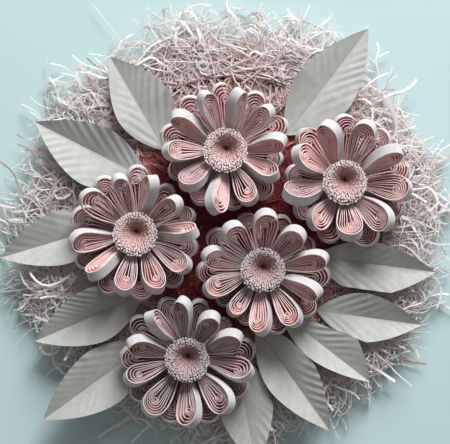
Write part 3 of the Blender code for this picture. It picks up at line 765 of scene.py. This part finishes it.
def leaf_half(row, share, sign, side_share):
    """One half's width: its share of the outline, short of the leaves that lie on its side."""
    stem, run = leaf_line(row)
    spots = stem + run * share[:, None]
    half = leaf_outline(share) * side_share
    for other in LEAF_SHARES:
        away, reach = way_to_leaf(spots, other)
        limit = np.linalg.norm(away, axis=-1) * LEAF_REACH_SHARES[row[4] > other[4]] - SEAT_GAP
        beside = (away @ heading(row[2] + 90) * sign > 0) & (other is not row)
        half = np.where(beside, np.minimum(half, limit), half)
    return np.maximum(half, NARROWEST_HALF)


def leaf_surface(row):
    """The lower side of a leaf's sheet on a grid of shares along and across, and its crease mark.

    A point at share w of a half's width h stands |w| h tan(fold) / side share over the midrib, plus
    pleats that run forwards from it. So both edges are equally high, and the narrower half is steeper.
    """
    stem, run = leaf_line(row)
    across = np.linspace(-1, 1, 2 * ACROSS_STEPS + 1)[None, :]
    along = np.linspace(0, 1, ALONG_STEPS)[:, None]
    forward = along + LEAF_VEIN_SHARE * np.abs(across) * np.sin(math.pi * along)
    edge = forward[:, 0]
    left = leaf_half(row, edge, 1, row[6])[:, None]
    right = leaf_half(row, edge, -1, row[7])[:, None]
    half = np.where(across > 0, left, right) * np.abs(across)
    raised = np.where(across > 0, left / row[6], right / row[7]) * np.abs(across)
    length = np.linalg.norm(run)
    side_shift = np.where(across > 0, leaf_veins.uniform(0, 1), leaf_veins.uniform(0, 1))
    pitch = VEIN_PITCH * leaf_veins.uniform(*VEIN_PITCH_SHARES)
    sway = VEIN_SWAY * np.sin(along * leaf_veins.uniform(*VEIN_SWAY_BEATS) + across)
    phase = 2 * math.pi * ((length * forward - VEIN_SLANT * half) / pitch + side_shift + sway)
    fade = np.sin(math.pi * along) ** 0.5 * np.minimum(np.abs(across) * FLAT_MIDRIB_RATE, 1)
    wave = np.arcsin(VEIN_SHARPNESS * np.sin(phase)) / (math.pi / 2)
    swell = np.sin(along * leaf_veins.uniform(*DEPTH_BEATS) + 2 * across + 6 * side_shift)
    depth = VEIN_DEPTH * (EVEN_DEPTH_SHARE + (1 - EVEN_DEPTH_SHARE) * swell)
    buckle = (BUCKLE_DEPTH * np.sin(along * leaf_veins.uniform(*BUCKLE_BEATS) + 3 * side_shift)
              * np.abs(across) ** 2)
    climb = length * math.tan(math.radians(row[5]))
    fold = math.tan(math.radians(row[4])) * np.minimum(forward / LEAF_PRESSED_SHARE, 1)
    rise = raised * fold + depth * wave * fade + buckle * fade
    surface = (stem + run * forward[..., None] + UP * (climb * forward + rise)[..., None]
               + heading(row[2] + 90) * (half * np.sign(across))[..., None])
    # Painted shade: darkest along the midrib and on the crests and troughs of the vein pleats, where shade
    # falls.
    crease_shade = np.maximum(1 - np.abs(across) * MIDRIB_RATE,
                        np.clip(np.abs(wave) - CREST_SHARE, 0, 1) * CREST_SHADE * fade)
    return surface, np.broadcast_to(crease_shade, surface.shape[:2])


leaf_veins = np.random.default_rng(VEIN_SEED)
leaf_paper, leaf_color, made, link = paper_material("leaf_paper", mottle=0.19, fibre_depth=0.00006)
# Painted shade: the leaf paper darkens where the crease mark is high.
link.new(ramp(made, link, mark_value(made, "crease_shade"),
              ((0.0, (0.49, 0.50, 0.47, 1)), (0.6, (0.435, 0.44, 0.405, 1)),
               (1.0, (0.34, 0.34, 0.31, 1)))), leaf_color)

# A leaf's faces: the grid of its upper side, the grid of its lower side and the rim between them.
rows = np.arange(ALONG_STEPS - 1)[:, None]
columns = np.arange(2 * ACROSS_STEPS)[None, :]
stride = 2 * ACROSS_STEPS + 1
corner = rows * stride + columns
top_faces = np.stack((corner, corner + stride, corner + stride + 1, corner + 1), axis=-1).reshape(-1, 4)
grid_points = ALONG_STEPS * stride
rim = np.concatenate((np.arange(stride), np.arange(1, ALONG_STEPS) * stride + stride - 1,
                      (ALONG_STEPS - 1) * stride + np.arange(stride - 2, -1, -1),
                      np.arange(ALONG_STEPS - 2, 0, -1) * stride))
after_rim = np.roll(rim, -1)
rim_faces = np.stack((rim, after_rim, after_rim + grid_points, rim + grid_points), axis=-1)
leaf_faces = np.concatenate((top_faces[:, ::-1], top_faces + grid_points, rim_faces[:, ::-1])).tolist()

for number, row in enumerate(LEAF_SHARES, start=1):
    surface, crease_shade = leaf_surface(row)
    sheet = surface.reshape(-1, 3)
    piece = mesh_piece(f"leaf_{number:02d}_sheet", np.concatenate((sheet + UP * LEAF_SHEET, sheet)),
                       leaf_faces, smooth=True)
    piece.data.set_sharp_from_angle(angle=SHARP_LEAF_ANGLE)
    set_mark(piece, "crease_shade", np.concatenate((crease_shade.ravel(), crease_shade.ravel())))
    piece.data.materials.append(leaf_paper)
    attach(piece, "root")
    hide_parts(f"leaf_{number:02d}")

# Nest of shreds
# Crinkled paper shreds, white to pale pink, heaped and glued on the board and standing out past it all
# round. A matted bed lies under them, painted with shade: deep red between the flowers and near black in
# the gap over the board's edge.
BED_SECTORS = 180
BED_RINGS = 60
BED_RADIUS = (nest_high.x - nest_low.x) / 2
BED_REACH_SHARE = 0.985
BED_DEPTH = 0.0016
BED_RIPPLE = 0.00035
GAP_RING = 0.0705
GAP_DEPTH = 0.0024
GAP_WIDTH = 0.0012
GAP_SHADE_WIDTH = 0.0013
# Painted shade: the near black of the gap over the board's edge.
GAP_SHADE_COLOR = (0.07, 0.03, 0.03, 1)
EDGE_DROP = 0.0045
EDGE_SHARES = (0.93, 0.055)
# Where the bed's painted shade turns from dark red between the flowers to pale at the rim.
RIM_START = 0.045
RIM_RUN = 0.020
SHRED_SEED = 23
shreds = np.random.default_rng(SHRED_SEED)

# The bed's height is a ripple of crossed waves, less a bell-shaped groove along the gap ring and less a
# drop that grows as the square of the way into the edge.
bed_r = np.linspace(0, 1, BED_RINGS)[:, None] * BED_RADIUS * BED_REACH_SHARE
bed_a = np.linspace(0, 2 * math.pi, BED_SECTORS, endpoint=False)[None, :]
ripple = (np.sin(bed_r * 900 + 3 * np.sin(bed_a * 7)) * np.sin(bed_a * 41 + bed_r * 500)
          + np.sin(bed_a * 67 - bed_r * 1400)) * BED_RIPPLE
bed_level = nest_high.z - BED_DEPTH
bed_top = bed_level + ripple - GAP_DEPTH * np.exp(-((bed_r - GAP_RING) / GAP_WIDTH) ** 2)
bed_top = bed_top - EDGE_DROP * np.clip((bed_r / BED_RADIUS - EDGE_SHARES[0]) / EDGE_SHARES[1], 0, 1) ** 2
bed = np.stack((bed_r * np.cos(bed_a), bed_r * np.sin(bed_a),
                np.broadcast_to(bed_top, (BED_RINGS, BED_SECTORS))), axis=-1)
under = bed[-1].copy()
under[:, 2] = nest_low.z
rings = np.concatenate((bed[1:].reshape(-1, 3), under, [[0, 0, bed_top.mean()], [0, 0, nest_low.z]]))
ring = np.arange(BED_RINGS - 1)[:, None] * BED_SECTORS
after = ring + BED_SECTORS
sector = np.arange(BED_SECTORS)[None, :]
turn = (sector + 1) % BED_SECTORS
quads = np.stack((ring + sector, after + sector, after + turn, ring + turn), axis=-1)
top_point = np.full_like(sector, len(rings) - 2)
low_point = np.full_like(sector, len(rings) - 1)
last_ring = (BED_RINGS - 1) * BED_SECTORS
top_fan = np.stack((top_point, sector, turn), axis=-1)
low_fan = np.stack((low_point, last_ring + turn, last_ring + sector), axis=-1)
fans = np.stack((top_fan, low_fan), axis=2)
bed_piece = mesh_piece("nest_bed", rings, quads.reshape(-1, 4).tolist() + fans.reshape(-1, 3).tolist(),
                       smooth=True)
distance = np.linalg.norm(rings[:, :2], axis=1)
# Painted shade marks: the gap mark for the dark groove, and the rim mark for the bed's turn from dark red
# under the flowers to pale.
set_mark(bed_piece, "gap", np.exp(-((distance - GAP_RING) / GAP_SHADE_WIDTH) ** 2))
set_mark(bed_piece, "rim", np.clip((distance - RIM_START) / RIM_RUN, 0, 1))

bed_paper, bed_color, made, link = paper_material("bed_paper", mottle=0.55, fibre_depth=0.0002)
# Painted shade: dark red between the flowers, pale towards the rim, near black in the gap.
painted_bed_shade = ramp(made, link, mark_value(made, "rim"),
                 ((0.0, (0.28, 0.05, 0.048, 1)), (1.0, (0.70, 0.57, 0.53, 1))))
link.new(tinted(made, link, "gap", painted_bed_shade, GAP_SHADE_COLOR), bed_color)
bed_piece.data.materials.append(bed_paper)
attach(bed_piece, "root")
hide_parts("shred_nest")

SHRED_STEPS = 12
SHRED_WIDTH = 0.00052
SHRED_SHEET = 0.00014
OUTER_CENTRE = np.array((-0.005, 0.002))
OUTER_RADIUS = 0.104
STRAY_SHARE = 0.30
SHRED_LIMITS = ((-0.1145, 0.1055), (-0.1120, 0.1065))
CURLY_SHARE = 0.3
CURLY_RATE = 2.6
PLAIN_RATE = 0.8
WAVE_SWINGS = (0.05, 0.5)
WAVE_BEATS = (0.8, 2.2)
WAVE_LAGS = (0, 6)
LIFT_BEATS = (0.5, 1.6)
GAP_CLEARANCE = 0.0006
FIRST_TWISTS = (-0.9, 0.9)
TWIST_SPREAD = 1.1
COVER_SHARE = 1.25
COVER_MARGIN = 0.0015
LEAF_CLEARANCE = 0.0010
LOWEST_SHRED = 0.0009
NARROWEST_SHRED_SHARE = 0.6
WIDTH_POWER = 3


def placed_line(steps, middle, limits):
    """The running sum of the steps of each strip, centred on a middle and moved inside the limits."""
    line = np.cumsum(steps, axis=1)
    line += middle - line.mean(axis=1, keepdims=True)
    line += np.maximum(limits[0] - line.min(axis=1, keepdims=True), 0)
    return line - np.maximum(line.max(axis=1, keepdims=True) - limits[1], 0)


def shred_strips(radius, azimuth, length, curl, level_low, level_high, width):
    """Crinkled strips: the heading turns by a steady curl and a wave, and the points are its running sum.

    The strip's width turns slowly about its run, so that it shows its face and then its edge. All but
    the strays keep to their own side of the gap ring.
    """
    count = len(radius)
    step = np.linspace(0, 1, SHRED_STEPS)[None, :]
    start = shreds.uniform(0, 2 * math.pi, count)[:, None]
    bend = shreds.normal(0, 1, count) * curl
    bend = (bend * np.where(shreds.random(count) < CURLY_SHARE, CURLY_RATE, PLAIN_RATE))[:, None]
    wave = shreds.uniform(*WAVE_SWINGS, count)[:, None]
    beat = shreds.uniform(*WAVE_BEATS, count)[:, None]
    lag = shreds.uniform(*WAVE_LAGS, count)[:, None]
    course = start + bend * step + wave * np.sin(2 * math.pi * beat * step + lag)
    pace = length[:, None] / (SHRED_STEPS - 1)
    drift = np.clip((radius - GAP_RING) / (OUTER_RADIUS - GAP_RING), 0, 1)
    middle_x = radius * np.cos(azimuth) + OUTER_CENTRE[0] * drift
    middle_y = radius * np.sin(azimuth) + OUTER_CENTRE[1] * drift
    x = placed_line(np.cos(course) * pace, middle_x[:, None], SHRED_LIMITS[0])
    y = placed_line(np.sin(course) * pace, middle_y[:, None], SHRED_LIMITS[1])
    low, high = level_low[:, None], level_high[:, None]
    lift = 0.5 + 0.5 * np.sin(math.pi * shreds.uniform(*LIFT_BEATS, count)[:, None] * step
                              + shreds.uniform(*WAVE_LAGS, count)[:, None])
    z = low + (high - low) * lift
    distance = np.hypot(x, y)
    own_side = np.where(radius > GAP_RING, 1, -1)[:, None]
    over = np.maximum((GAP_RING + GAP_CLEARANCE * own_side - distance) * own_side, 0) * own_side
    over = over * (shreds.random(count) > STRAY_SHARE)[:, None]
    x, y = x * (1 + over / distance), y * (1 + over / distance)
    twist = (shreds.uniform(*FIRST_TWISTS, count)[:, None]
             + shreds.normal(0, TWIST_SPREAD, count)[:, None] * step)
    normal = np.stack((-np.sin(course), np.cos(course), np.zeros_like(course)), axis=-1)
    face = normal * np.cos(twist)[..., None] + UP * np.sin(twist)[..., None]
    depth = UP * np.cos(twist)[..., None] - normal * np.sin(twist)[..., None]
    return np.stack((x, y, z), axis=-1), face * width[:, None, None] / 2, depth * SHRED_SHEET / 2


def shred_widths(count, spread):
    """Widths W (n + spread * q^3) for even draws q, so that most shreds are narrow."""
    return SHRED_WIDTH * (NARROWEST_SHRED_SHARE + spread * shreds.random(count) ** WIDTH_POWER)


def shred_piece(name, spots, face, depth, tints_and_shade):
    """All shreds of a zone as one piece, each held under the leaves that cover it."""
    for row in LEAF_SHARES:
        away, reach = way_to_leaf(spots, row)
        covered = np.linalg.norm(away, axis=-1) < COVER_SHARE * leaf_outline(reach) + COVER_MARGIN
        under_leaf = leaf_level + LEAF_LENGTH * reach * math.tan(math.radians(row[5])) - LEAF_CLEARANCE
        spots[..., 2] = np.where(covered, np.minimum(spots[..., 2], under_leaf), spots[..., 2])
    spots[..., 2] = np.maximum(spots[..., 2], LOWEST_SHRED)
    corners = np.stack((spots - face - depth, spots + face - depth, spots + face + depth,
                        spots - face + depth), axis=2)
    piece = mesh_piece(name, corners, strip_faces(SHRED_STEPS, len(spots)).tolist(), smooth=True)
    piece.data.set_sharp_from_angle(angle=SHARP_STRIP_ANGLE)
    set_mark(piece, "tint", np.repeat(tints_and_shade, 4 * SHRED_STEPS))
    piece.data.materials.append(shred_paper)
    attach(piece, "root")
    return piece


shred_paper, shred_color, made, link = paper_material("shred_paper", mottle=0.12, fibre_depth=0.00003,
                                                      glow=0.6)
# The tint ramp runs from the shreds' white and pale pink paper into dark red; the dark red end is painted
# shade.
link.new(ramp(made, link, mark_value(made, "tint"),
              ((0.0, (0.80, 0.80, 0.78, 1)), (0.35, (0.81, 0.73, 0.71, 1)), (0.6, (0.79, 0.57, 0.54, 1)),
               (0.8, (0.54, 0.19, 0.18, 1)), (1.0, (0.33, 0.055, 0.05, 1)))), shred_color)

OUTER_SHREDS = 2100
BOTTOM_SHREDS = 1000
SHRED_FLOOR = 0.0012
TOP_HEAVY = 0.22
TUFT = 0.07
TUFT_COUNT = 7
PILE_RADII = (GAP_RING, 0.083, OUTER_RADIUS)
PILE_HEIGHTS = (0.0020, 0.0058, 0.0035)
GROUND_RADII = (0.076, 0.079)
SHOULDER = 0.088
OUTER_LENGTHS = (0.014, 0.042)
OUTER_CURL = 1.9
OUTER_WIDTH_SPREAD = 2.3
STACK_RISE = 0.80
STACK_THICKNESS = 0.0008
# Tint levels: a base, painted shade by place in the stack and near the shoulder, and the paper's own random
# spread.
OUTER_TINT = 0.46
OUTER_STACK_SHADE = 0.30
SHOULDER_SHADE = 0.29
SHOULDER_RUN = 0.015
OUTER_TINT_SPREAD = 0.12
REDDEST_OUTER_TINT = 0.66
for name, stack_low, stack_high, count, first_azimuth, spread_powers in (
        ("nest_ring_shreds", 0.0, 0.55, OUTER_SHREDS, 0, (1.0, 2.45)),
        ("nest_top_shreds", 0.40, 1.0, OUTER_SHREDS, 0, (1.0, 2.45)),
        ("nest_bottom_shreds", 0.1, 0.9, BOTTOM_SHREDS, math.pi, (2.0, 1.6))):
    outer_share = shreds.beta(*spread_powers, count)
    outer_r = GAP_RING + (OUTER_RADIUS - GAP_RING) * outer_share
    stack = shreds.uniform(stack_low, stack_high, count)
    pile = np.interp(outer_r, PILE_RADII, PILE_HEIGHTS)
    ground = np.interp(outer_r, GROUND_RADII, (bed_level, SHRED_FLOOR))
    height = np.interp(outer_r, (SHOULDER, OUTER_RADIUS), (bed_level, SHRED_FLOOR)) + pile - ground
    spread = shreds.uniform(first_azimuth, 2 * math.pi, count)
    spread += TOP_HEAVY * np.cos(spread) + TUFT * np.cos(TUFT_COUNT * spread + 1)
    spots, face, depth = shred_strips(outer_r, spread,
                                      shreds.uniform(*OUTER_LENGTHS, count), OUTER_CURL,
                                      ground + STACK_RISE * height * stack,
                                      (ground + STACK_THICKNESS
                                       + height * (1 - STACK_RISE + STACK_RISE * stack)),
                                      shred_widths(count, OUTER_WIDTH_SPREAD))
    # Painted shade: shreds low in the stack and near the shoulder by the flowers get a darker, redder tint;
    # the random spread is the paper's own variety.
    near = np.clip((SHOULDER - outer_r) / SHOULDER_RUN, 0, 1)
    tints_and_shade = (OUTER_TINT - OUTER_STACK_SHADE * stack + SHOULDER_SHADE * near
             + shreds.normal(0, OUTER_TINT_SPREAD, count))
    piece = shred_piece(name, spots, face, depth, np.clip(tints_and_shade, 0, REDDEST_OUTER_TINT))
    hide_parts(*[f"shred_lock_{number:02d}" for number in range(1, 13)])

INNER_SHREDS = 1100
INNER_RADIUS = GAP_RING - 0.002
LEAST_AREA_SHARE = 0.02
INNER_HEAP = 0.0020
HEAP_START = 0.053
HEAP_RUN = 0.010
INNER_LENGTHS = (0.012, 0.030)
INNER_CURL = 1.2
INNER_WIDTH_SPREAD = 1.6
INNER_DEPTHS = (0.0022, 0.0008)
INNER_STACK = 0.0012
# Tint levels of the inner shreds: a base deep in the ramp and painted shade by stack and by nearness to the
# middle, plus the paper's own random spread.
INNER_TINT = 0.68
INNER_STACK_SHADE = 0.20
MIDDLE_SHADE = 0.50
MIDDLE_END = 0.062
MIDDLE_RUN = 0.02
INNER_TINT_SPREAD = 0.08
inner_r = INNER_RADIUS * np.sqrt(shreds.uniform(LEAST_AREA_SHARE, 1, INNER_SHREDS))
stack = shreds.uniform(0, 1, INNER_SHREDS)
near_gap = nest_high.z + INNER_HEAP * np.clip((inner_r - HEAP_START) / HEAP_RUN, 0, 1)
spots, face, depth = shred_strips(inner_r, shreds.uniform(0, 2 * math.pi, INNER_SHREDS),
                                  shreds.uniform(*INNER_LENGTHS, INNER_SHREDS), INNER_CURL,
                                  near_gap - INNER_DEPTHS[0] + INNER_STACK * stack,
                                  near_gap - INNER_DEPTHS[1] + INNER_STACK * stack,
                                  shred_widths(INNER_SHREDS, INNER_WIDTH_SPREAD))
# Painted shade: shreds low in the stack and in the middle between the flowers get a deep red tint; the random
# spread is the paper's own variety.
middle = np.clip((MIDDLE_END - inner_r) / MIDDLE_RUN, 0, 1)
tints_and_shade = (INNER_TINT - INNER_STACK_SHADE * stack + MIDDLE_SHADE * middle
         + shreds.normal(0, INNER_TINT_SPREAD, INNER_SHREDS))
inner_piece = shred_piece("nest_inner_shreds", spots, face, depth, np.clip(tints_and_shade, 0, 1))
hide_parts("shred_nest")
